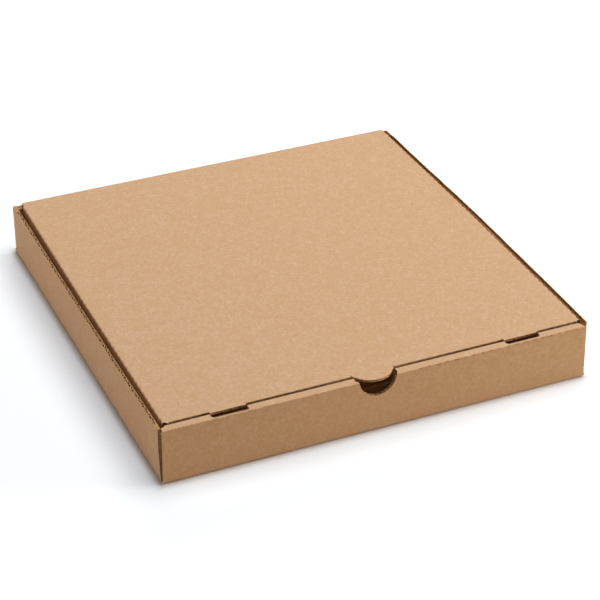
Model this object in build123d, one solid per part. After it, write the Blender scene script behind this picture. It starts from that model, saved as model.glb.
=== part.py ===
from build123d import *
import math
import os

os.makedirs("parts", exist_ok=True)

# Closed box, outside
width = 305.0
depth = 315.0
height = 40.0

# Single-wall corrugated board
board = 2.4
liner = 0.6
flute_pitch = 6.4
flute_web = 1.4
flute_depth = 3.0
crease_outside = 2.0
crease_inside = 0.3
layer_gap = 0.1
moving_gap = 0.3

# Tray walls
side_wall_drop = 0.8
wall_end_inset = 0.6
corner_flap_length = 32.0
front_top_radius = 1.2
ledge_inner_radius = 1.9
ledge_end_cut = 4.5
inner_panel_inset = 0.8
corner_fold_radius = 1.0
corner_setback = 1.7
corner_joggle = 6.2
foot_tab_width = 30.0
foot_tab_x = 75.0

# Lid
lid_side_gap = 0.75
lid_side_radius = 1.0
lid_front_radius = 2.2
lid_inside_radius = 0.3
rear_radius = 2.2
side_flap_length = 35.4
side_flap_front_inset = 7.0
side_flap_back_inset = 6.5
side_flap_taper = 6.0
front_strip_depth = 6.0
front_flap_length = 33.0
front_flap_tilt = 4.0
front_flap_end_inset = 3.9
front_flap_corner = 6.0

# Closures
lock_tab_x = 104.7
lock_tab_width = 24.9
lock_tab_reach = 0.9
lock_slot_radius = 2.5
closure_drop = 1.8
thumb_x = -2.2
thumb_radius = 18.0
finger_radius = 13.1
finger_rise = 0.3
finger_rim_angle = 72.0
thumb_rim_angle = 42.0

# Levels and faces that the sizes above give
front = -depth / 2
back = depth / 2
side = width / 2
top_under = height - board
side_top = height - side_wall_drop
foot = board + layer_gap
ledge_depth = 3 * board + 2 * layer_gap
ledge_back = front + ledge_depth
ledge_end = side - wall_end_inset
lid_front = ledge_back + moving_gap
lid_side = side - board - lid_side_gap
ledge_corner = ledge_end - ledge_end_cut
panel_end = ledge_corner - inner_panel_inset
slot_width = lock_tab_width + 2 * moving_gap
strip_back = lid_front + front_strip_depth


def prism(plane, points, radii, length):
    outline = FilletPolyline(*points, radius=radii, close=True)
    return extrude(plane * make_face(outline), amount=length)


def along_x(points, radii, start, length):
    return prism(Plane(origin=(start, 0, 0), x_dir=(0, 1, 0), z_dir=(1, 0, 0)), points, radii, length)


def along_y(points, radii, start, length):
    return prism(Plane(origin=(0, start, 0), x_dir=(1, 0, 0), z_dir=(0, -1, 0)), points, radii, -length)


def along_z(points, radii, start, length):
    return prism(Plane.XY.offset(start), points, radii, length)


def block(x, y, z):
    size = (x[1] - x[0], y[1] - y[0], z[1] - z[0])
    return Pos(x[0], y[0], z[0]) * Box(*size, align=(Align.MIN, Align.MIN, Align.MIN))


def flute_opening(up):
    # One open flute in a raw edge: the edge runs along X, its face is at Z 0 and the cut goes down
    reach = board / 2 - liner
    half = flute_pitch / 2 - flute_web
    corners = [(-half, up * reach), (0, up * (liner / 2 - reach)), (half, up * reach)]
    return along_z(corners, 0, -flute_depth, flute_depth + 1)


def cut_flutes(solid, edge, length):
    # edge puts the middle of the raw edge at the origin, with +Z outward
    count = int(length / (flute_pitch / 2))
    start = -(count - 1) * flute_pitch / 4
    openings = []
    for i in range(count):
        openings.append(edge * Pos(start + i * flute_pitch / 2, 0, 0) * flute_opening((-1) ** i))
    return solid - openings


def cut_flutes_on_arc(solid, edge, radius, half_angle):
    # edge puts the arc's lowest point at the origin with +Z outward; radius is negative on a hole
    step = math.degrees(flute_pitch / 2 / abs(radius))
    count = int(2 * half_angle / step)
    start = -(count - 1) * step / 2
    openings = []
    for i in range(count):
        turn = Pos(0, 0, -radius) * Rot(0, start + i * step, 0) * Pos(0, 0, radius)
        openings.append(edge * turn * flute_opening((-1) ** i))
    return solid - openings


def build_base():
    base = block((-side, side), (front, back), (0, board))
    return fillet(base.faces().sort_by(Axis.Z)[0].edges(), crease_outside)


def front_roll():
    # Outer front wall, ledge and inner front panel: one strip folded along X
    points = [
        (ledge_back, foot),
        (ledge_back, height),
        (front, height),
        (front, board),
        (front + board, board),
        (front + board, top_under),
        (ledge_back - board, top_under),
        (ledge_back - board, foot),
    ]
    radii = [0, ledge_inner_radius, front_top_radius, 0, 0, crease_inside, crease_inside, 0]
    roll = along_x(points, radii, -ledge_end, 2 * ledge_end)
    past = ledge_end + 5
    for hand in (-1, 1):
        # The ledge's end is cut on a slant from the front crease to the inner crease
        slant = [
            (hand * ledge_end, front),
            (hand * ledge_corner, ledge_back),
            (hand * ledge_corner, ledge_back + 1),
            (hand * past, ledge_back + 1),
            (hand * past, front - 1),
            (hand * ledge_end, front - 1),
        ]
        roll -= along_z(slant, 0, top_under, board + 1)
        beside = sorted((hand * panel_end, hand * past))
        roll -= block(beside, (ledge_back - board - layer_gap / 2, ledge_back + 1), (board, top_under))
    return roll


def side_wall(hand):
    # Side wall with a corner flap folded in at each end
    outer = hand * side
    inner = hand * (side - board)
    flap_end = hand * (side - corner_flap_length)
    fold = depth / 2 - 2 * board - layer_gap - corner_setback - 2 * crease_inside
    joggle = hand * (side - corner_joggle)
    wall = block(sorted((outer, inner)), (-fold, fold), (board, side_top))
    for end in (-1, 1):
        flap_face = end * (depth / 2 - board - layer_gap)
        flap_inner = flap_face - end * board
        # The front folds stand back from the front wall and their flaps step forward to lie on it
        step = corner_setback if end < 0 else 0
        plan = [
            (flap_end, flap_face),
            (joggle, flap_face),
            (outer, flap_face - end * step),
            (outer, end * fold),
            (inner, end * fold),
            (inner, flap_inner - end * step),
            (joggle, flap_inner),
            (flap_end, flap_inner),
        ]
        radii = [0, 0, corner_fold_radius, 0, 0, crease_inside, 0, 0]
        if end > 0:
            # The back flaps have no step, so they are flat from fold to end
            plan = plan[:1] + plan[2:6] + plan[7:]
            radii = radii[:1] + radii[2:6] + radii[7:]
        flap = along_z(plan, radii, foot, side_top - foot)
        flap_top = top_under - (layer_gap if end < 0 else moving_gap)
        over_flap = sorted((flap_end - hand, inner))
        flap -= block(over_flap, sorted((end * depth / 2, end * fold)), (flap_top, height))
        wall += flap
    edge_face = Location((hand * (side - board / 2), 0, side_top), (0, 0, 90))
    return cut_flutes(wall, edge_face, 2 * fold - flute_pitch)


def closure_cuts():
    # Slots in the ledge for the lock tabs and the thumb hole: all are open toward the lid
    cuts = []
    under = top_under - closure_drop
    for hand in (-1, 1):
        half = slot_width / 2
        middle = hand * lock_tab_x
        slot = [
            (middle - half, front + board + layer_gap),
            (middle + half, front + board + layer_gap),
            (middle + half, ledge_back + 1),
            (middle - half, ledge_back + 1),
        ]
        cuts.append(along_z(slot, [lock_slot_radius, lock_slot_radius, 0, 0], under, height))
    spread = math.sqrt(thumb_radius**2 - (thumb_radius - ledge_depth) ** 2) + moving_gap
    mouth = [
        (thumb_x - finger_radius, front - 1),
        (thumb_x + finger_radius, front - 1),
        (thumb_x + spread, ledge_back - board),
        (thumb_x + spread, ledge_back + 1),
        (thumb_x - spread, ledge_back + 1),
        (thumb_x - spread, ledge_back - board),
    ]
    cuts.append(along_z(mouth, 0, top_under, height))
    inner_front = front + board + layer_gap
    cuts.append(block((thumb_x - spread, thumb_x + spread), (inner_front, ledge_back + 1), (under, height)))
    hole = Cylinder(finger_radius, board + layer_gap + 1)
    cuts.append(Location((thumb_x, (front + inner_front - 1) / 2, height + finger_rise), (90, 0, 0)) * hole)
    return cuts


def build_tray():
    roll = front_roll() - closure_cuts()
    rim = Pos(thumb_x, front + board / 2, height + finger_rise - finger_radius)
    roll = cut_flutes_on_arc(roll, rim, -finger_radius, finger_rim_angle)
    tray = build_base() + roll
    tray += block((-ledge_end, ledge_end), (back - board, back), (board, top_under))
    panel_front = ledge_back - board
    for hand in (-1, 1):
        # A tab under the inner front panel stands in a slot of the base
        middle = hand * foot_tab_x
        half = foot_tab_width / 2
        slot_x = (middle - half - moving_gap, middle + half + moving_gap)
        slot_y = (panel_front - moving_gap, ledge_back + moving_gap)
        tray -= block(slot_x, slot_y, (-1, foot - layer_gap / 2))
        tray += block((middle - half, middle + half), (panel_front, ledge_back), (0, foot + 1))
    return tray + side_wall(-1) + side_wall(1)


def lid_front_strip():
    # Front crease of the lid with the front tuck flap, which leans back from the crease
    lean = math.radians(front_flap_tilt)
    outer_end = (lid_front + front_flap_length * math.sin(lean), height - front_flap_length * math.cos(lean))
    inner_end = (outer_end[0] + board * math.cos(lean), outer_end[1] + board * math.sin(lean))
    inner_corner = (lid_front + board / math.cos(lean) + board * math.tan(lean), top_under)
    points = [
        (strip_back, height),
        (lid_front, height),
        outer_end,
        inner_end,
        inner_corner,
        (strip_back, top_under),
    ]
    radii = [0, lid_front_radius, 0, 0, lid_inside_radius, 0]
    flap_end = lid_side - front_flap_end_inset
    strip = along_x(points, radii, -flap_end, 2 * flap_end)
    bottom = outer_end[1]
    for hand in (-1, 1):
        corner = [
            (hand * flap_end, bottom + front_flap_corner),
            (hand * (flap_end - front_flap_corner), bottom),
            (hand * (flap_end - front_flap_corner), bottom - 1),
            (hand * (flap_end + 1), bottom - 1),
            (hand * (flap_end + 1), bottom + front_flap_corner),
        ]
        strip -= along_y(corner, 0, lid_front - 1, front_flap_length)
    return strip


def closure_tabs(strip):
    # The tabs are cut out of the front flap and stay level with the top panel
    tab_front = ledge_back - lock_tab_reach
    for hand in (-1, 1):
        span = (hand * lock_tab_x - lock_tab_width / 2, hand * lock_tab_x + lock_tab_width / 2)
        strip -= block(span, (lid_front - 1, strip_back + 1), (top_under - lock_tab_reach, height + 1))
        strip += block(span, (tab_front, strip_back), (top_under, height))
        edge = Pos(hand * lock_tab_x, tab_front, height - board / 2) * Rot(90, 0, 0)
        strip = cut_flutes(strip, edge, lock_tab_width - flute_pitch / 2)
    root = math.sqrt(thumb_radius**2 - (front + thumb_radius - lid_front) ** 2)
    span = (thumb_x - root, thumb_x + root)
    strip -= block(span, (lid_front - 1, strip_back + 1), (top_under - moving_gap, height + 1))
    window_middle = Location((thumb_x, strip_back, height - (lid_front - front) + thumb_radius), (90, 0, 0))
    strip -= window_middle * Cylinder(thumb_radius, 2 * front_strip_depth + 2)
    strip += block(span, (lid_front, strip_back), (top_under, height))
    disc = Pos(thumb_x, front + thumb_radius, height - board / 2) * Cylinder(thumb_radius, board)
    ahead = block((span[0] - 1, span[1] + 1), (front - 1, lid_front), (top_under - 1, height + 1))
    strip += disc & ahead
    tip = Pos(thumb_x, front, height - board / 2) * Rot(90, 0, 0)
    return cut_flutes_on_arc(strip, tip, thumb_radius, thumb_rim_angle)


def build_lid():
    flap_bottom = height - side_flap_length
    inner = lid_side - board
    section = [
        (-lid_side, flap_bottom),
        (-lid_side, height),
        (lid_side, height),
        (lid_side, flap_bottom),
        (inner, flap_bottom),
        (inner, top_under),
        (-inner, top_under),
        (-inner, flap_bottom),
    ]
    radii = [0, lid_side_radius, lid_side_radius, 0, 0, lid_inside_radius, lid_inside_radius, 0]
    top_front = lid_front + side_flap_front_inset
    top_back = back - side_flap_back_inset
    lid = along_y(section, radii, lid_front, top_back - lid_front)
    clear = top_under - lid_inside_radius - moving_gap
    ahead = [
        (lid_front - 1, clear),
        (top_front, clear),
        (top_front + side_flap_taper, flap_bottom - 1),
        (lid_front - 1, flap_bottom - 1),
    ]
    behind = [
        (top_back + 1, clear),
        (top_back, clear),
        (top_back - side_flap_taper, flap_bottom - 1),
        (top_back + 1, flap_bottom - 1),
    ]
    for ends in (ahead, behind):
        lid -= along_x(ends, 0, -side, width)
    strip_end = lid_side - front_flap_end_inset
    lid -= block((-strip_end, strip_end), (lid_front - 1, strip_back), (clear, height + 1))
    lid += closure_tabs(lid_front_strip())
    # The rear crease rounds down to the hinge line and stops short of the side creases
    rear = [
        (top_back, top_under),
        (top_back, height),
        (back, height),
        (back, top_under),
    ]
    rear_end = lid_side - lid_side_radius
    lid += along_x(rear, [0, 0, rear_radius, 0], -rear_end, 2 * rear_end)
    flute_run = top_back - lid_front - side_flap_front_inset - 2 * side_flap_taper
    middle_y = (top_front + top_back) / 2
    for hand in (-1, 1):
        edge_face = Location((hand * (lid_side - board / 2), middle_y, flap_bottom), (180, 0, 90))
        lid = cut_flutes(lid, edge_face, flute_run)
    return lid


if __name__ == "__main__":
    tray = build_tray()
    lid = build_lid()
    export_step(tray, "parts/tray.step")
    export_step(lid, "parts/lid.step")
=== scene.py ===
import math
import random

import bmesh
import bpy
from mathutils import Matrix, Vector


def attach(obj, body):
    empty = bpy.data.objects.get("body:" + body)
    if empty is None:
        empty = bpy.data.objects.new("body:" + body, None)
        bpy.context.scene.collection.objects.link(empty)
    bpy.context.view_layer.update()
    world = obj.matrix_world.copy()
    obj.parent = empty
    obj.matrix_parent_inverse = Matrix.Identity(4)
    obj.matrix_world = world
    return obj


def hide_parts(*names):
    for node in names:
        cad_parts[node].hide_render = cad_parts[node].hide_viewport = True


MM = 0.001
X_AXIS, Y_AXIS, Z_AXIS = range(3)

# Sizes of the box in millimetres, as the CAD has them
WIDTH = 305.0
DEPTH = 315.0
HEIGHT = 40.0
BOARD = 2.4
FLUTE_PITCH = 6.4
FRONT = -DEPTH / 2
BACK = DEPTH / 2
SIDE = WIDTH / 2
SIDE_TOP = 39.2
TOP_UNDER = HEIGHT - BOARD
LEDGE_BACK = FRONT + 7.4
LID_FRONT = LEDGE_BACK + 0.3
LID_SIDE = 149.35
WALL_END = 151.9
PANEL_END = 146.6
STRIP_END = 145.45
LOCK_TAB_X = 104.7
LOCK_TAB_HALF = 12.5
LOCK_SLOT_HALF = 12.9
FOOT_TAB_SIDE = 120.5
THUMB_X = -2.2
THUMB_RADIUS = 18.0
THUMB_HALF = 14.9
FINGER_RADIUS = 13.1
FINGER_CENTRE_Z = 40.3
# Depth of the flute openings cut into an edge, and the height of the lid's side flaps' feet
FLUTE_DEPTH = 3.1
FLAP_FOOT = 4.65
# Depth of the hollow between the liners at the front wall's ends
HOLLOW_DEPTH = 3

# Margin for telling on which surface of the board a point lies
NEAR = 0.05
# Edges that bend less than this are shaded smooth
SMOOTH_BELOW = math.radians(32)

# The side walls' flute openings stand at this start and every half pitch after it
FLUTE_START = 144.0
# Distance of the side wall's front fold behind the front at each height
FOLD_LINE = ((2.4, 2.5), (9, 3.4), (20, 4.2), (32, 4.1), (39.2, 3.1))
# Depth of the wrinkles of that fold at each distance from the wall's face
FOLD_GROOVES = ((0, 0), (0.35, 1.3), (0.75, 1.3), (1.1, 0.2), (1.6, 0.2), (2.2, 2.0), (6.2, 0))

# How far inward each side crease of the lid lies at each distance behind the front
LEFT_CREASE = ((0, -1), (170, -1), (220, -0.2), (290, 1))
RIGHT_CREASE = ((0, -0.4), (160, -0.2), (220, 0.5), (260, 1.3), (300, 1.9))
CREASE_RADIUS = 2.2

# How far the front wall's top leans back in its middle, and how much more at its ends
WALL_LEAN = 0.45
END_LEAN = 0.55
# How far the lock slots reach forward along the ledge, and how much more at the right and the left slot
SLOT_REACH = 0.4
RIGHT_SLOT_REACH = 0.5
LEFT_SLOT_REACH = 1.0
# The front folds keep this much of the CAD's roundness
FOLD_SHARPNESS = 0.3
# How far the inner front panel stands back, and how much its rim is lowered, under the thumb tab
PANEL_BACK = 4
RIM_DROP = 8
# How far the lock tabs and the thumb tab's root stand back of the CAD's
LOCK_TAB_BACK = 1.45
THUMB_BACK = 1.5
# How much the lid's side flaps lean inward for each millimetre of depth
LEFT_FLAP_LEAN = 0.14
RIGHT_FLAP_LEAN = 0.08

# Camera of the photograph
CAMERA_PLACE = (-0.4891, -1.1460, 0.7913)
CAMERA_AZIMUTH = -23.57
CAMERA_ELEVATION = 32.13
CAMERA_LENS = 124.03

# Name, place in metres, width in metres, power in watts and colour of each lamp, all aimed at the box
LAMPS = (
    ("key", (0.5, 0.1, 1.8), 1.7, 27.8, "#FFFEFD"),
    ("back_light", (0.5, 1.6, 1.1), 0.8, 8.0, "#FFFBF2"),
    ("right_fill", (1.6, -0.72, 0.2), 0.6, 26.3, "#FFF9E9"),
    ("left_fill", (-1.6, 0.4, 0.16), 0.8, 8.2, "#FFFFFF"),
)
# Half the floor's width and its drop below the base, in metres, so that the two don't share a plane
FLOOR_HALF = 6.0
FLOOR_DROP = 0.0002

# Material slots of a dressed board
LINER, CUT_EDGE, FLUTE_AND_SHADE = range(3)


def linear(hex_colour):
    # The linear colour of an sRGB hex code
    channels = [int(hex_colour[i:i + 2], 16) / 255 for i in (1, 3, 5)]
    return tuple(c / 12.92 if c <= 0.04045 else ((c + 0.055) / 1.055) ** 2.4 for c in channels) + (1.0,)


def add_node(tree, kind, links=(), **settings):
    # links are (input, value or output socket) pairs; settings are the node's own properties
    made = tree.nodes.new(kind)
    for name, value in settings.items():
        setattr(made, name, value)
    for socket, value in links:
        if isinstance(value, bpy.types.NodeSocket):
            tree.links.new(value, made.inputs[socket])
        else:
            made.inputs[socket].default_value = value
    return made


def new_material(name):
    material = bpy.data.materials.new(name)
    material.use_nodes = True
    material.node_tree.nodes.clear()
    return material, material.node_tree


def mixed(tree, factor, first, second):
    mix = add_node(tree, "ShaderNodeMix", data_type="RGBA")
    for socket, value in (("Factor_Float", factor), ("A_Color", first), ("B_Color", second)):
        target = next(s for s in mix.inputs if s.identifier == socket)
        if isinstance(value, bpy.types.NodeSocket):
            tree.links.new(value, target)
        else:
            target.default_value = value
    return next(s for s in mix.outputs if s.identifier == "Result_Color")


def noise(tree, place, scale, detail, roughness=0.5):
    links = [("Vector", place), ("Scale", scale), ("Detail", detail), ("Roughness", roughness)]
    return add_node(tree, "ShaderNodeTexNoise", links).outputs["Fac"]


def ramped(tree, value, low, high, top=1.0):
    # 0 up to low, rising straight to top at high
    links = [("Value", value), ("From Min", low), ("From Max", high), ("To Max", top)]
    return add_node(tree, "ShaderNodeMapRange", links).outputs["Result"]


def bumped(tree, height, strength, distance):
    links = [("Height", height), ("Strength", strength), ("Distance", distance)]
    return add_node(tree, "ShaderNodeBump", links).outputs["Normal"]


def give_surface(tree, base, roughness, gloss, normal=None):
    links = [("Base Color", base), ("Roughness", roughness), ("Specular IOR Level", gloss)]
    if normal:
        links.append(("Normal", normal))
    shader = add_node(tree, "ShaderNodeBsdfPrincipled", links)
    add_node(tree, "ShaderNodeOutputMaterial", [("Surface", shader.outputs["BSDF"])])


def kraft_liner():
    # Unbleached kraft liner: pulp fibres pressed on a machine, a dull brown sheet with cloudy formation
    material, tree = new_material("unbleached_kraft_liner")
    place = add_node(tree, "ShaderNodeTexCoord").outputs["Object"]
    # Fibre clumps about 1.9 mm across, with finer ones inside them
    clumps = noise(tree, place, 470.0, 4.0, 0.7)
    # Clouds of thicker and thinner pulp, 6 mm across
    clouds = noise(tree, place, 160.0, 3.0, 0.6)
    # Single long fibres, drawn about 0.5 mm wide so that they show
    along = add_node(tree, "ShaderNodeMapping", [("Vector", place), ("Scale", (700.0, 2000.0, 1300.0)),
                                                 ("Rotation", (0.2, 0.1, 0.5))])
    fibres = noise(tree, along.outputs["Vector"], 1.0, 2.0)
    base = mixed(tree, ramped(tree, clumps, 0.28, 0.72), linear("#CB9C6E"), linear("#DCBB9B"))
    base = mixed(tree, ramped(tree, clouds, 0.35, 0.7, 0.6), base, linear("#CCA074"))
    base = mixed(tree, ramped(tree, fibres, 0.6, 0.74, 0.4), base, linear("#B5865A"))
    give_surface(tree, base, 0.75, 0.4, bumped(tree, clumps, 0.25, 0.0002))
    return material


def cut_board():
    # Die-cut edge of corrugated board: torn, pale fibres of the liners
    material, tree = new_material("die_cut_board_edge")
    place = add_node(tree, "ShaderNodeTexCoord").outputs["Object"]
    fuzz = noise(tree, place, 900.0, 5.0, 0.7)
    base = mixed(tree, ramped(tree, fuzz, 0.35, 0.65), linear("#AA7E50"), linear("#D8AE80"))
    give_surface(tree, base, 0.9, 0.15, bumped(tree, fuzz, 0.6, 0.0003))
    return material


def flute_paper_and_shade():
    # Fluting medium: thin recycled paper inside the board, darker than the liners; the same dark paper is
    # also used as painted shade on the ledge's mouth and on the right wall's top
    material, tree = new_material("fluting_paper_and_painted_shade")
    place = add_node(tree, "ShaderNodeTexCoord").outputs["Object"]
    grain = noise(tree, place, 500.0, 3.0)
    base = mixed(tree, grain, linear("#6B4420"), linear("#8A5A2C"))
    give_surface(tree, base, 0.95, 0.1)
    return material


def painted_cut_shade():
    # Painted shade of the open short cuts: a colour a little darker than the sheet
    material, tree = new_material("painted_shade_of_cuts")
    give_surface(tree, linear("#B58A5E"), 0.95, 0.1)
    return material


def slices(low, high, step):
    # Places between low and high, a step apart
    count = int((high - low) / step)
    return [low + step * i for i in range(1, count + 1) if low + step * i < high]


def both_sides(places):
    return [-place for place in places] + list(places)


def all_faces(x, behind, z):
    return True


def slice_board(bm, axis, places, chosen):
    # Cuts the chosen faces on planes so that the sheet can bend between them
    normal = Vector([1.0 if i == axis else 0.0 for i in range(3)])
    faces = [face for face in bm.faces if chosen(*sheet_place(face.calc_center_median() / MM))]
    for place in places:
        edges = list(dict.fromkeys(edge for face in faces for edge in face.edges))
        verts = list(dict.fromkeys(vert for face in faces for vert in face.verts))
        cut = bmesh.ops.bisect_plane(bm, geom=verts + edges + faces, dist=1e-7, plane_co=normal * place * MM,
                                     plane_no=normal)
        faces = [part for part in cut["geom"] if isinstance(part, bmesh.types.BMFace)]


def sheet_place(point):
    # Distance from the middle line, distance behind the front and height, in millimetres
    return abs(point[0]), point[1] - FRONT, point[2]


def tray_slot(centre, normal):
    # The paper that a face of the tray shows
    x, y, z = abs(centre.x), centre.y, centre.z
    behind = y - FRONT
    # Flute openings and cut rims of the side walls' tops and of the finger hole
    in_side_wall = SIDE - BOARD + NEAR < x < SIDE - NEAR
    if in_side_wall and SIDE_TOP - FLUTE_DEPTH < z < SIDE_TOP - NEAR and abs(y) < 152:
        return FLUTE_AND_SHADE
    rim = math.hypot(centre.x - THUMB_X, z - FINGER_CENTRE_Z)
    in_hole_rim = FINGER_RADIUS + NEAR < rim < FINGER_RADIUS + 3.2
    if NEAR < behind < BOARD - NEAR and in_hole_rim and z < 37:
        return FLUTE_AND_SHADE
    if behind < BOARD + 0.15 and rim < FINGER_RADIUS + 0.1 and abs(normal.y) < 0.1:
        return CUT_EDGE
    # Raw tops of the side walls; on the right wall the strip between the liners has the dark flute paper as
    # painted shade of the gap beside the lid
    if x > SIDE - BOARD - 0.1 and z > SIDE_TOP - 0.1:
        return FLUTE_AND_SHADE if SIDE - BOARD + 0.3 < centre.x < SIDE - 0.75 else CUT_EDGE
    # The ledge's mouth for the thumb tab: its cut sides have the dark flute paper as painted shade
    if abs(normal.x) > 0.3 and abs(centre.x - THUMB_X) < 19 and 0.6 < behind < 7.5 and z > TOP_UNDER:
        return FLUTE_AND_SHADE
    # Rims of the corner flaps, then ends of the front wall, the inner panel and its foot tabs
    if normal.z > 0.9 and 36.8 < z < TOP_UNDER + NEAR and abs(y) > 150:
        return CUT_EDGE
    at_end = min(abs(x - end) for end in (WALL_END, PANEL_END, FOOT_TAB_SIDE)) < 0.1
    if abs(normal.x) > 0.9 and z > BOARD and at_end:
        return CUT_EDGE
    # Sides of the lock slots and the inner panel's rim
    if z > TOP_UNDER and abs(normal.z) < 0.1 and 0.2 < behind < 7.3 and x < 150.05:
        return CUT_EDGE
    if 35 < z and normal.z > 0.9 and 4.9 < behind < 7.5 and z < TOP_UNDER:
        return CUT_EDGE
    return LINER


def lid_slot(centre, normal):
    # The paper that a face of the lid shows
    x, y, z = abs(centre.x), centre.y, centre.z
    # Feet and ends of the side flaps
    if LID_SIDE - BOARD + NEAR < x < LID_SIDE - NEAR and FLAP_FOOT < z < 7.8:
        return FLUTE_AND_SHADE
    if z < FLAP_FOOT or (abs(normal.y) > 0.5 and x > LID_SIDE - BOARD - 0.1 and z < 36.8):
        return CUT_EDGE
    # Edges of the lock tabs and the thumb tab
    if y < LID_FRONT - NEAR:
        inside = TOP_UNDER + 0.1 < z < HEIGHT - 0.1
        thumb = math.hypot(centre.x - THUMB_X, y - FRONT - THUMB_RADIUS)
        behind_edge = thumb < THUMB_RADIUS - 0.1 if x < 20 else y > LEDGE_BACK - 0.85
        if inside and behind_edge:
            return FLUTE_AND_SHADE
        return CUT_EDGE if abs(normal.z) < 0.1 else LINER
    if y < LID_FRONT + NEAR and normal.y < -0.9 and x > STRIP_END:
        return FLUTE_AND_SHADE
    # Edges of the front flap, then of the crease at the back
    if y < -143 and z < TOP_UNDER and (abs(normal.x) > 0.4 or normal.z < -0.9 or abs(normal.y) < 0.1):
        return CUT_EDGE
    if y > 150.9 and (abs(normal.x) > 0.9 or (x > PANEL_END and normal.y > 0.9)):
        return CUT_EDGE
    return LINER


def smooth_step(low, high, value):
    # 0 up to low, 1 from high on, and a smooth rise between them
    t = min(max((value - low) / (high - low), 0.0), 1.0)
    return t * t * (3 - 2 * t)


def between(pairs, value):
    # Straight lines through (place, amount) pairs, level outside them
    if value <= pairs[0][0]:
        return pairs[0][1]
    for (low, start), (high, end) in zip(pairs, pairs[1:]):
        if value <= high:
            return start + (end - start) * (value - low) / (high - low)
    return pairs[-1][1]


def wave(value, length):
    return math.cos(2 * math.pi * value / length)


def front_shift(x):
    # How far the front's parts lie to the right, the thumb tab and its hole less than the rest
    return -0.1 + 0.95 * smooth_step(20, 90, abs(x))


def side_bow(x, behind):
    # How far the top of a side wall stands out, pressed by the lid's flaps: the right one most
    if x < 0:
        return 0.5 * smooth_step(5, 90, behind) * (1 - smooth_step(200, 290, behind))
    bow = 3.55 * smooth_step(0.5, 7.5, behind) - 0.3 * (1 - smooth_step(10, 60, behind))
    bow *= 1 - 0.75 * smooth_step(150, 300, behind)
    return bow * (1 - 0.9 * smooth_step(296, 312, behind))


def flute_dot(x, y):
    # Where a point of a flute opening in a wall's top goes: openings are shorter and in mid board
    place = round((y + FLUTE_START) / (FLUTE_PITCH / 2))
    middle = place * FLUTE_PITCH / 2 - FLUTE_START
    board_middle = math.copysign(SIDE - BOARD / 2, x)
    hand = 1 if place % 2 else -1
    across = ((x - board_middle) * hand + 0.3) / 0.9 - 0.5
    return board_middle + across * hand * 0.95, middle + (y - middle) * 0.68


def fold_shift(x, behind, z):
    # The side wall's front fold comes forward at its foot and top, and its liner has two grooves
    inside = SIDE - abs(x)
    out = 4.2 - between(FOLD_LINE, z)
    shift = -out * max(1 - inside / 6.2, 0) * (1 - smooth_step(4.2, 14, behind))
    if behind < 4.3:
        shift += between(FOLD_GROOVES, inside) * smooth_step(0, 12, z)
    return shift


def tray_bend(point):
    # Where a point of the tray's sheet lies on the photographed box
    x, y, z = point
    behind = y - FRONT
    lean = z / SIDE_TOP
    lean_back = (WALL_LEAN + END_LEAN * smooth_step(40, 140, abs(x))) * smooth_step(8, 39, z)
    # The inner panel's rim is low under the thumb tab
    if 2.6 < behind < 7.6 and 20 < z < 37.5:
        under_thumb = (1 - smooth_step(15, 17, abs(x - THUMB_X))) * (1 - smooth_step(36.4, 37.5, z))
        z -= RIM_DROP * under_thumb * smooth_step(20, 35.5, z)
    if behind < BOARD + NEAR or (z > 35 and behind < 7.6 and abs(x) < 150.05):
        top = front_shift(x) - 0.15 - 0.4 * smooth_step(120, 150, x)
        top += 0.6 * smooth_step(2, 6, behind) * smooth_step(138, 146, x)
        y += lean_back * (1 - smooth_step(2.4, 6, behind))
        near_slot = 1 - smooth_step(LOCK_SLOT_HALF, 18, abs(abs(x) - LOCK_TAB_X))
        reach = SLOT_REACH + (RIGHT_SLOT_REACH if x > 0 else LEFT_SLOT_REACH) * near_slot
        y -= between(((0, 0), (1.2, 0.6), (2.5, reach), (5.2, 0)), behind) * smooth_step(35, 37.3, z)
        # The two folds of the roll-over front are sharper than the CAD's
        if behind > 5.3:
            z = HEIGHT - (HEIGHT - z) * (FOLD_SHARPNESS + 0.7 * smooth_step(1.0, 6.0, HEIGHT - z))
        elif behind < 2.3 and z > 35:
            z = HEIGHT - (HEIGHT - z) * (FOLD_SHARPNESS + 0.7 * smooth_step(0.6, 3.0, HEIGHT - z))
        return Vector((x + top * lean + 0.2 * (x / WALL_END) * (1 - lean), y, z))
    # The inner front panel, then the corner flaps behind the front wall's ends
    if behind < 7.6 and z > BOARD + NEAR and abs(x) < PANEL_END + 0.1:
        y += PANEL_BACK * (1 - smooth_step(16, 45, abs(x - THUMB_X))) * smooth_step(4, 24, z)
    if behind < 7 and abs(x) > 118:
        y += lean_back
    # The side walls
    bow = math.copysign(side_bow(x, behind), x) * lean * smooth_step(146.3, 150.1, abs(x))
    if z > SIDE_TOP - FLUTE_DEPTH and abs(abs(x) - SIDE + BOARD / 2) < 0.65 and abs(y) < 147:
        x, y = flute_dot(x, y)
    if behind < 14 and z > BOARD + NEAR and abs(x) > 146.3:
        y += fold_shift(x, behind, z)
    # The right wall's top edge is crushed on its inner side
    if x > 0 and z > SIDE_TOP - NEAR:
        z -= 0.9 * (1 - smooth_step(150.4, 151.9, x))
    return Vector((x + bow, y, z))


def crease_shift(drop):
    # How far the lid's front crease stands back of the CAD's at each depth: it is sharp and turned under
    rest = CREASE_RADIUS - min(drop, CREASE_RADIUS)
    outer = LID_FRONT - FRONT + CREASE_RADIUS - math.sqrt(CREASE_RADIUS ** 2 - rest ** 2)
    return max(9.3 + min(0.5 * max(drop - 0.3, 0), 1.7) - outer, 0)


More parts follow.
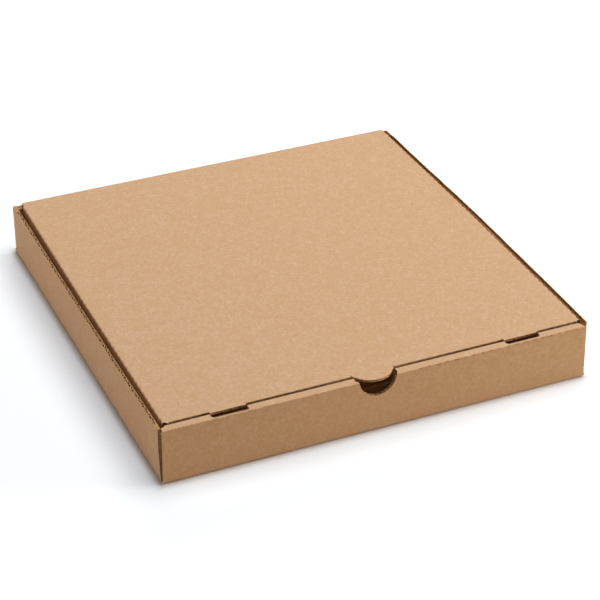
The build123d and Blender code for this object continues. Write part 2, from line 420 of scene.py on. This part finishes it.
def lid_bend(point):
    # Where a point of the lid's sheet lies on the photographed box
    x, y, z = point
    behind = y - FRONT
    drop = HEIGHT - z
    beside_tab = smooth_step(12, 20, abs(abs(x) - LOCK_TAB_X))
    in_strip = behind < 13.75 and abs(x) < 146.5
    in_panel = drop < BOARD + NEAR
    if in_strip and in_panel and abs(abs(x) - LOCK_TAB_X) < LOCK_TAB_HALF:
        drop *= 1 - 0.3 * (1 - smooth_step(6.6, 10, behind))
        y += LOCK_TAB_BACK * (1 - smooth_step(7, 13.7, behind))
    elif in_strip and in_panel and abs(x - THUMB_X) < THUMB_HALF:
        drop *= 1 - 0.3 * (1 - smooth_step(2, 10, behind))
        y += THUMB_BACK * smooth_step(0, 8, behind) * (1 - smooth_step(8, 13.7, behind))
    elif in_strip:
        # The front crease, slightly uneven, and the flap below it
        fade = 1 - smooth_step(10.5, 13.7, behind) if in_panel else 1
        y += crease_shift(drop) * fade
        y += 0.17 * wave(x + 0.9 * math.sin(x / 17), FLUTE_PITCH) * (1 - smooth_step(8, 11, behind))
        if not in_panel:
            y += 3.5 * (1 - beside_tab) * smooth_step(20, 33, z)
            y += PANEL_BACK * (1 - smooth_step(16, 45, abs(x - THUMB_X))) * smooth_step(7, 24, z)
    elif behind < 16 and in_panel:
        # The lid's front corners are cut back
        y += 2.3 * (1 - smooth_step(7.7, 16, behind))
    # The lid sits to the right, and its side flaps lean inward from wavy creases
    hand = math.copysign(1.0, x)
    shift = front_shift(x) + 1.55 * smooth_step(122, 144, abs(x))
    if x < 0:
        shift += 0.55 * smooth_step(118, 140, -x) * between(LEFT_CREASE, behind)
    else:
        shift -= smooth_step(118, 140, x) * between(RIGHT_CREASE, behind)
    if abs(x) > 146.6:
        near_crease = smooth_step(146.6, 148.4, abs(x))
        lean = RIGHT_FLAP_LEAN if x > 0 else LEFT_FLAP_LEAN
        shift -= hand * lean * max(drop - 1.5, 0)
        shift -= hand * 0.28 * (1 - wave(y, FLUTE_PITCH)) * near_crease * (1 - smooth_step(2, 4, drop))
    return Vector((x + shift, y, HEIGHT - drop))


def open_wall_ends(bm):
    # The front wall's raw ends show the hollow between the two liners
    hollow = []
    for face in bm.faces:
        x, behind, z = sheet_place(face.calc_center_median() / MM)
        if abs(face.normal.x) > 0.9 and abs(x - WALL_END) < 0.1 and 0.35 < behind < 2.1 and 3 < z < 37:
            face.material_index = FLUTE_AND_SHADE
            hollow.append(face)
    bmesh.ops.inset_region(bm, faces=hollow, use_boundary=True, use_even_offset=True, thickness=0.0,
                           depth=-HOLLOW_DEPTH * MM)


def by_chance(tree, low, high, seed):
    links = [("Min", low), ("Max", high), ("Seed", seed)]
    return add_node(tree, "FunctionNodeRandomValue", links, data_type="FLOAT_VECTOR").outputs["Value"]


def small_bits(name, body, points, size, turn, seed, material):
    # Puts a small block on each point, scaled and turned by chance, and makes them one mesh
    tree = bpy.data.node_groups.new(name, "GeometryNodeTree")
    sockets = {}
    for label, kind in (("Geometry", "NodeSocketGeometry"), ("Size", "NodeSocketVector"),
                        ("Turn", "NodeSocketVector"), ("Seed", "NodeSocketInt"),
                        ("Material", "NodeSocketMaterial")):
        sockets[label] = tree.interface.new_socket(label, in_out="INPUT", socket_type=kind).identifier
    tree.interface.new_socket("Geometry", in_out="OUTPUT", socket_type="NodeSocketGeometry")
    given = add_node(tree, "NodeGroupInput").outputs
    turned = add_node(tree, "ShaderNodeVectorMath", [(0, given["Turn"]), (1, (-1.0, -1.0, -1.0))],
                      operation="MULTIPLY")
    angle = by_chance(tree, turned.outputs["Vector"], given["Turn"], given["Seed"])
    scale = by_chance(tree, (0.45, 0.6, 0.5), (1.25, 1.2, 1.3), given["Seed"])
    block = add_node(tree, "GeometryNodeMeshCube", [("Size", given["Size"])])
    bits = add_node(tree, "GeometryNodeInstanceOnPoints", [
        ("Points", given["Geometry"]), ("Instance", block.outputs["Mesh"]), ("Rotation", angle),
        ("Scale", scale)])
    solid = add_node(tree, "GeometryNodeRealizeInstances", [("Geometry", bits.outputs["Instances"])])
    painted = add_node(tree, "GeometryNodeSetMaterial", [("Geometry", solid.outputs["Geometry"]),
                                                         ("Material", given["Material"])])
    add_node(tree, "NodeGroupOutput", [("Geometry", painted.outputs["Geometry"])])
    places = bpy.data.meshes.new(name + "_places")
    places.from_pydata([point * MM for point in points], [], [])
    maker = bpy.data.objects.new(name + "_maker", places)
    bpy.context.collection.objects.link(maker)
    nodes = maker.modifiers.new("bits", "NODES")
    nodes.node_group = tree
    for label, value in (("Size", [part * MM for part in size]), ("Turn", turn), ("Seed", seed),
                         ("Material", material)):
        nodes[sockets[label]] = value
    mesh = bpy.data.meshes.new_from_object(maker.evaluated_get(bpy.context.evaluated_depsgraph_get()))
    bpy.data.objects.remove(maker)
    piece = bpy.data.objects.new(name, mesh)
    bpy.context.collection.objects.link(piece)
    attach(piece, body)


def dressed_board(name, body, slot_of, bend, cuts, materials):
    # A copy of the CAD sheet, cut fine enough to bend, with its liners, cut edges and flutes told apart
    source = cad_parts[name]
    bm = bmesh.new()
    bm.from_mesh(source.data)
    bmesh.ops.remove_doubles(bm, verts=bm.verts, dist=1e-6)
    for axis, places, chosen in cuts:
        slice_board(bm, axis, places, chosen)
    bm.normal_update()
    for face in bm.faces:
        face.material_index = slot_of(face.calc_center_median() / MM, face.normal)
        face.smooth = True
    if name == "tray":
        open_wall_ends(bm)
    for vert in bm.verts:
        vert.co = bend(vert.co / MM) * MM
    bm.normal_update()
    for edge in bm.edges:
        edge.smooth = edge.is_manifold and edge.calc_face_angle(0) < SMOOTH_BELOW
    mesh = bpy.data.meshes.new(name + "_board")
    bm.to_mesh(mesh)
    bm.free()
    for material in materials:
        mesh.materials.append(material)
    board = bpy.data.objects.new(name + "_board", mesh)
    bpy.context.collection.objects.link(board)
    weights = board.modifiers.new("weighted", "WEIGHTED_NORMAL")
    weights.keep_sharp = True
    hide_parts(name)
    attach(board, body)


def maths(tree, operation, first, second):
    return add_node(tree, "ShaderNodeMath", [(0, first), (1, second)], operation=operation).outputs["Value"]


def seen_by_eye(tree):
    # 1 for the camera's own rays and for what it sees in a gloss or through a clear thing
    path = add_node(tree, "ShaderNodeLightPath").outputs
    seen = maths(tree, "MAXIMUM", path["Is Camera Ray"], path["Is Glossy Ray"])
    return maths(tree, "MAXIMUM", seen, path["Is Transmission Ray"])


def floor_paper():
    # White paper sweep that the camera sees as white, helped by a painted glow, and that keeps the box's
    # shadow
    material, tree = new_material("white_paper_floor")
    paper = add_node(tree, "ShaderNodeBsdfDiffuse", [("Color", linear("#F7F7F7"))])
    # For the rays that light the box the floor has a weaker and warmer colour than the white the camera
    # sees, which sets the bounce light on the box
    bounce_colour = add_node(tree, "ShaderNodeBsdfDiffuse", [("Color", linear("#D2BCA4"))])
    # Painted light: a glow that only the camera and gloss rays see, stronger away from the box
    place = add_node(tree, "ShaderNodeTexCoord").outputs["Object"]
    reach = add_node(tree, "ShaderNodeVectorMath", [(0, place)], operation="LENGTH")
    painted_light_level = add_node(tree, "ShaderNodeMapRange", [("Value", reach.outputs["Value"]), ("From Min", 0.15),
                                                  ("From Max", 0.3), ("To Min", 0.28), ("To Max", 0.36)])
    # Painted contact shadow: the glow fades out within 6 mm of the box's foot
    extent = add_node(tree, "ShaderNodeVectorMath", [(0, place)], operation="ABSOLUTE")
    outside = add_node(tree, "ShaderNodeVectorMath", [(0, extent.outputs["Vector"]),
                                                      (1, (SIDE * MM, BACK * MM, 0))], operation="SUBTRACT")
    parts = add_node(tree, "ShaderNodeSeparateXYZ", [("Vector", outside.outputs["Vector"])]).outputs
    gap = maths(tree, "MAXIMUM", parts["X"], parts["Y"])
    painted_contact_shadow = add_node(tree, "ShaderNodeMapRange", [("Value", gap), ("From Max", 0.006)],
                    interpolation_type="SMOOTHSTEP")
    strength = maths(tree, "MULTIPLY", painted_light_level.outputs["Result"], painted_contact_shadow.outputs["Result"])
    painted_glow = add_node(tree, "ShaderNodeEmission", [("Color", linear("#DCEEFF")), ("Strength", strength)])
    both = add_node(tree, "ShaderNodeAddShader", [(0, paper.outputs["BSDF"]), (1, painted_glow.outputs["Emission"])])
    seen = add_node(tree, "ShaderNodeMixShader", [("Fac", seen_by_eye(tree)), (1, bounce_colour.outputs["BSDF"]),
                                                  (2, both.outputs["Shader"])])
    add_node(tree, "ShaderNodeOutputMaterial", [("Surface", seen.outputs["Shader"])])
    return material


def studio():
    # The paper floor, and a world that is white to the camera but gives only a weak fill light
    mesh = bpy.data.meshes.new("floor")
    corners = [(x * FLOOR_HALF, y * FLOOR_HALF, 0) for x, y in ((-1, -1), (1, -1), (1, 1), (-1, 1))]
    mesh.from_pydata(corners, [], [(0, 1, 2, 3)])
    mesh.materials.append(floor_paper())
    floor = bpy.data.objects.new("floor", mesh)
    floor.location.z = -FLOOR_DROP
    bpy.context.collection.objects.link(floor)

    world = bpy.data.worlds.new("studio")
    world.use_nodes = True
    tree = world.node_tree
    tree.nodes.clear()
    white = linear("#FFFFFF")
    fill = add_node(tree, "ShaderNodeBackground", [("Color", white), ("Strength", 0.055)])
    backdrop = add_node(tree, "ShaderNodeBackground", [("Color", white), ("Strength", 1.0)])
    seen = add_node(tree, "ShaderNodeMixShader", [
        ("Fac", seen_by_eye(tree)), (1, fill.outputs["Background"]), (2, backdrop.outputs["Background"])])
    add_node(tree, "ShaderNodeOutputWorld", [("Surface", seen.outputs["Shader"])])
    bpy.context.scene.world = world


def area_lamp(name, place, width, power, colour):
    lamp = bpy.data.lights.new(name, "AREA")
    lamp.shape = "DISK"
    lamp.size = width
    lamp.energy = power
    lamp.color = linear(colour)[:3]
    holder = bpy.data.objects.new(name, lamp)
    holder.location = place
    holder.rotation_euler = (-Vector(place)).to_track_quat("-Z", "Y").to_euler()
    bpy.context.collection.objects.link(holder)


def photo_camera():
    camera = bpy.data.cameras.new("photo_camera")
    camera.lens = CAMERA_LENS
    holder = bpy.data.objects.new("photo_camera", camera)
    holder.location = CAMERA_PLACE
    holder.rotation_euler = (math.radians(90 - CAMERA_ELEVATION), 0, math.radians(CAMERA_AZIMUTH))
    bpy.context.collection.objects.link(holder)
    bpy.context.scene.camera = holder


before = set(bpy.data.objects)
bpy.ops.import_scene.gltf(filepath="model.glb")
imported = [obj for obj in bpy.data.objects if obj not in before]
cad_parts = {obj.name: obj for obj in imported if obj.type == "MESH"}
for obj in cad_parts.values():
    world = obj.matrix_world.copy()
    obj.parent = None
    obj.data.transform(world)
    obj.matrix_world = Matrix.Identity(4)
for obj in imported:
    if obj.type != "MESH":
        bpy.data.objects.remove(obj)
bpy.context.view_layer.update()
bpy.context.scene.view_settings.view_transform = "Standard"
photo_camera()
studio()
for lamp in LAMPS:
    area_lamp(*lamp)

board_papers = [kraft_liner(), cut_board(), flute_paper_and_shade()]
# Each row has an axis, the places on it and the faces that are cut there
tray_cuts = (
    (X_AXIS, slices(-SIDE, SIDE, 12), all_faces),
    (Y_AXIS, slices(FRONT, BACK, 8), all_faces),
    (Z_AXIS, slices(0, HEIGHT, 8), all_faces),
    # Front folds of the side walls
    (Z_AXIS, slices(0, SIDE_TOP, 3), lambda x, behind, z: x > 146 and BOARD < behind < 14),
    (Y_AXIS, slices(FRONT + 4, FRONT + 14, 1.5), lambda x, behind, z: x > 150 and 4 < behind < 14),
    # Tops of the side walls, between the liners
    (X_AXIS, both_sides([SIDE - 0.65, SIDE - BOARD + 0.2]),
     lambda x, behind, z: x > 150 and z > SIDE_TOP - NEAR),
    # Ends of the front wall, between the liners
    (Y_AXIS, (FRONT + 0.35, FRONT + 2.1),
     lambda x, behind, z: x > WALL_END - 0.1 and behind < BOARD and 3 < z < 37),
    # Grooves of the front folds
    (X_AXIS, both_sides([SIDE - inside for inside, depth in FOLD_GROOVES[1:-1]]),
     lambda x, behind, z: x > 146.2 and BOARD < behind < 4.4),
)
lid_cuts = (
    (X_AXIS, slices(-SIDE, SIDE, 10), all_faces),
    (Y_AXIS, slices(FRONT, BACK, 10), all_faces),
    (Z_AXIS, slices(0, TOP_UNDER, 12), all_faces),
    # Front crease, then side creases
    (Z_AXIS, (35.0, 36.3, 37.0, 37.9, 38.7, 39.35, 39.7),
     lambda x, behind, z: behind < 14 and x < 149 and z > 24),
    (X_AXIS, slices(-149, 149, 1.6), lambda x, behind, z: behind < 12 and x < 149 and z > 36),
    (Y_AXIS, slices(FRONT + 8, BACK, 1.6), lambda x, behind, z: x > 148.2 and z > 36.5),
)
dressed_board("tray", "tray", tray_slot, tray_bend, tray_cuts, board_papers)
dressed_board("lid", "lid", lid_slot, lid_bend, lid_cuts, board_papers)

# Short cuts along the right half of the front fold, drawn as thin blocks in a painted-shade colour, and
# liner torn up all along it
chance = random.Random(7)
cuts = [x + chance.uniform(-0.5, 0.5) for x in slices(22, 150, FLUTE_PITCH)]
cut_points = [tray_bend((x, FRONT, 39.0)) + Vector((0, -0.03, chance.uniform(-0.1, 0.25))) for x in cuts]
small_bits("front_fold_cut_shade", "tray", cut_points, (3.0, 0.3, 0.75), (0.0, 0.06, 0.0), 3, painted_cut_shade())
torn = [x + chance.uniform(-1.3, 1.3) for x in slices(-150, 150, FLUTE_PITCH / 2)]
torn = [x for x in torn if abs(x - THUMB_X) > 15 and chance.random() < 0.7]
torn_points = [tray_bend((x, FRONT, 39.7)) + Vector((0, 0, chance.uniform(-0.1, 0.05))) for x in torn]
small_bits("torn_front_fold", "tray", torn_points, (1.8, 0.5, 0.35), (0.5, 0.25, 0.3), 5,
           board_papers[CUT_EDGE])
